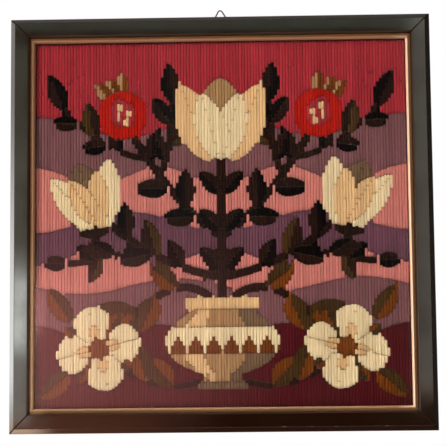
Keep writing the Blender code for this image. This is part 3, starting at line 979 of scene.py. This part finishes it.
def make_glue(rail, across, up, material):
    """The dark line of glue in a mitre joint, from the cut end of a rail."""
    cut = Vector((across, 0, up)).normalized()
    shape = cut_end(rail, cut)
    bmesh.ops.translate(shape, vec=cut * GLUE_OFFSET, verts=shape.verts)
    out = bmesh.ops.extrude_face_region(shape, geom=shape.faces[:])
    moved = [item for item in out["geom"] if isinstance(item, bmesh.types.BMVert)]
    bmesh.ops.translate(shape, vec=cut * GLUE_THICKNESS, verts=moved)
    bmesh.ops.recalc_face_normals(shape, faces=shape.faces)
    middle = sum((v.co for v in shape.verts), Vector()) / len(shape.verts)
    bmesh.ops.scale(shape, vec=GLUE_SHARE, verts=shape.verts, space=Matrix.Translation(-middle))
    name = f"glue_{rail}_{'right' if across > 0 else 'left'}"
    piece = new_piece(name, mesh_from(shape, name), material)
    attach(piece, "root")


def dress_nodes():
    """Gives the carried-over solids their finishes."""
    finishes = {
        "rail": lacquer_material(),
        "slip": gilt_material(),
        "glass": glass_material(),
        "backing": hardboard_material(),
        "pin": steel_material(),
        "hanger": steel_material(),
    }
    for name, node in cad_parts.items():
        kind = name.split("_")[0]
        if kind in finishes:
            node.data.materials.clear()
            node.data.materials.append(finishes[kind])


def smooth_fade(tree, value, low, high, to_low, to_high):
    """A node that goes smoothly from to_low to to_high as a value goes from low to high."""
    fade = tree.nodes.new("ShaderNodeMapRange")
    fade.interpolation_type = "SMOOTHSTEP"
    for socket, number in zip(list(fade.inputs)[1:5], (low, high, to_low, to_high)):
        socket.default_value = number
    tree.links.new(value, fade.inputs[0])
    return fade.outputs[0]


def product(tree, first, second):
    times = tree.nodes.new("ShaderNodeMath")
    times.operation = "MULTIPLY"
    tree.links.new(first, times.inputs[0])
    tree.links.new(second, times.inputs[1])
    return times.outputs[0]


def soften(data, width, height, fades):
    """Lets a card's light fade out over its edges."""
    data.use_nodes = True
    tree = data.node_tree
    split = tree.nodes.new("ShaderNodeSeparateXYZ")
    tree.links.new(tree.nodes.new("ShaderNodeNewGeometry").outputs["Parametric"], split.inputs[0])
    left, right, foot, head = fades
    strength = smooth_fade(tree, split.outputs[0], 0.0, left / width, 0.0, 1.0)
    for way, low, high in (
        (0, 1.0, 1.0 - right / width),
        (1, 0.0, foot / height),
        (1, 1.0, 1.0 - head / height),
    ):
        fade = smooth_fade(tree, split.outputs[way], low, high, 0.0, 1.0)
        strength = product(tree, strength, fade)
    tree.links.new(strength, tree.nodes["Emission"].inputs["Strength"])


def area_light(name, place, aim, width, height, brightness, colour):
    """A lit rectangle of a given brightness, whatever its size."""
    data = bpy.data.lights.new(name, "AREA")
    data.shape = "RECTANGLE"
    data.size = width
    data.size_y = height
    data.energy = brightness * math.pi * width * height
    data.color = colour
    lamp = bpy.data.objects.new(name, data)
    lamp.location = place
    lamp.rotation_euler = (Vector(aim) - Vector(place)).to_track_quat("-Z", "Y").to_euler()
    lamp.visible_camera = False
    bpy.context.scene.collection.objects.link(lamp)
    return lamp


def make_camera():
    data = bpy.data.cameras.new("camera")
    data.sensor_width = SENSOR_MM
    data.lens = FOCAL_PIXELS / PHOTO_PIXELS * SENSOR_MM
    camera = bpy.data.objects.new("camera", data)
    bpy.context.scene.collection.objects.link(camera)
    place = Vector((0, FACE_Y, FRAME_MIDDLE_Z)) + Vector(CAMERA_FROM_FACE)
    turn = (
        Matrix.Rotation(CAMERA_YAW, 4, "Z")
        @ Matrix.Rotation(CAMERA_PITCH, 4, "X")
        @ Matrix.Rotation(CAMERA_ROLL, 4, "Y")
        @ Matrix.Rotation(math.pi / 2, 4, "X")
    )
    camera.matrix_world = Matrix.Translation(place) @ turn
    bpy.context.scene.camera = camera


def make_stage():
    """A pale floor below the frame, and the studio round it."""
    floor_z = FRAME_MIDDLE_Z - FLOOR_BELOW_MIDDLE
    mesh = bpy.data.meshes.new("floor")
    corners = [(x * FLOOR_REACH, y * FLOOR_REACH, floor_z) for x, y in ((-1, -1), (1, -1), (1, 1), (-1, 1))]
    mesh.from_pydata(corners, [], [(0, 1, 2, 3)])
    floor = new_piece("floor", mesh, floor_material())
    make_world()
    bpy.context.scene.view_settings.view_transform = "Standard"


def make_world():
    """A white studio to the camera, whose light is brightest on the left and dim in front."""
    world = bpy.data.worlds.new("studio")
    world.use_nodes = True
    bpy.context.scene.world = world
    tree = world.node_tree
    tree.nodes.clear()
    way = tree.nodes.new("ShaderNodeTexCoord").outputs["Generated"]

    def towards(direction, low, high, to_low, to_high):
        facing = tree.nodes.new("ShaderNodeVectorMath")
        facing.operation = "DOT_PRODUCT"
        facing.inputs[1].default_value = direction
        tree.links.new(way, facing.inputs[0])
        return smooth_fade(tree, facing.outputs["Value"], low, high, to_low, to_high)

    def plain_light(colour):
        shader = tree.nodes.new("ShaderNodeBackground")
        shader.inputs["Color"].default_value = colour
        return shader

    from_left = towards((-1, 0, 0), -0.6, 0.6, AMBIENT_RIGHT, AMBIENT_LEFT)
    in_front = towards((0, -1, 0), 0.70, 0.93, 1.0, FRONT_SHARE)
    lighting = plain_light(AMBIENT_COLOUR)
    tree.links.new(product(tree, from_left, in_front), lighting.inputs["Strength"])
    seen = plain_light(WHITE)
    path = tree.nodes.new("ShaderNodeLightPath")
    mix = tree.nodes.new("ShaderNodeMixShader")
    output = tree.nodes.new("ShaderNodeOutputWorld")
    tree.links.new(path.outputs["Is Camera Ray"], mix.inputs[0])
    tree.links.new(lighting.outputs[0], mix.inputs[1])
    tree.links.new(seen.outputs[0], mix.inputs[2])
    tree.links.new(mix.outputs[0], output.inputs["Surface"])


def make_lights():
    """Lamps and tilted cards face the middle of the frame; the other cards stand upright."""
    middle = (0, FACE_Y, FRAME_MIDDLE_Z)
    for name, (x, y, z), *rest in LAMPS:
        lamp = area_light(name, (x, y, FRAME_MIDDLE_Z + z), middle, *rest)
        lamp.visible_glossy = False
        lamp.data.spread = LAMP_SPREAD
    front_cards = [(name, (x, FRONT_CARDS_Y, z), *rest) for name, (x, z), *rest in FRONT_CARDS]
    cards = [*SIDE_CARDS, *front_cards, UNDER_CARD]
    for number, (name, (x, y, z), width, height, brightness, colour, fades) in enumerate(cards):
        step = number * CARD_STEP
        place = (x + step, y + step, FRAME_MIDDLE_Z + z)
        aim = middle if name in TILTED_CARDS else (0, FACE_Y, place[2])
        card = area_light(name, place, aim, width, height, brightness, colour)
        card.visible_diffuse = False
        soften(card.data, width, height, fades)


make_camera()
make_stage()
make_lights()
dress_nodes()
canvas = make_canvas()
wool = make_wool()
glue = glue_material()
for rail, up in (("rail_top", -1), ("rail_bottom", 1)):
    for across in (-1, 1):
        make_glue(rail, across, up, glue)
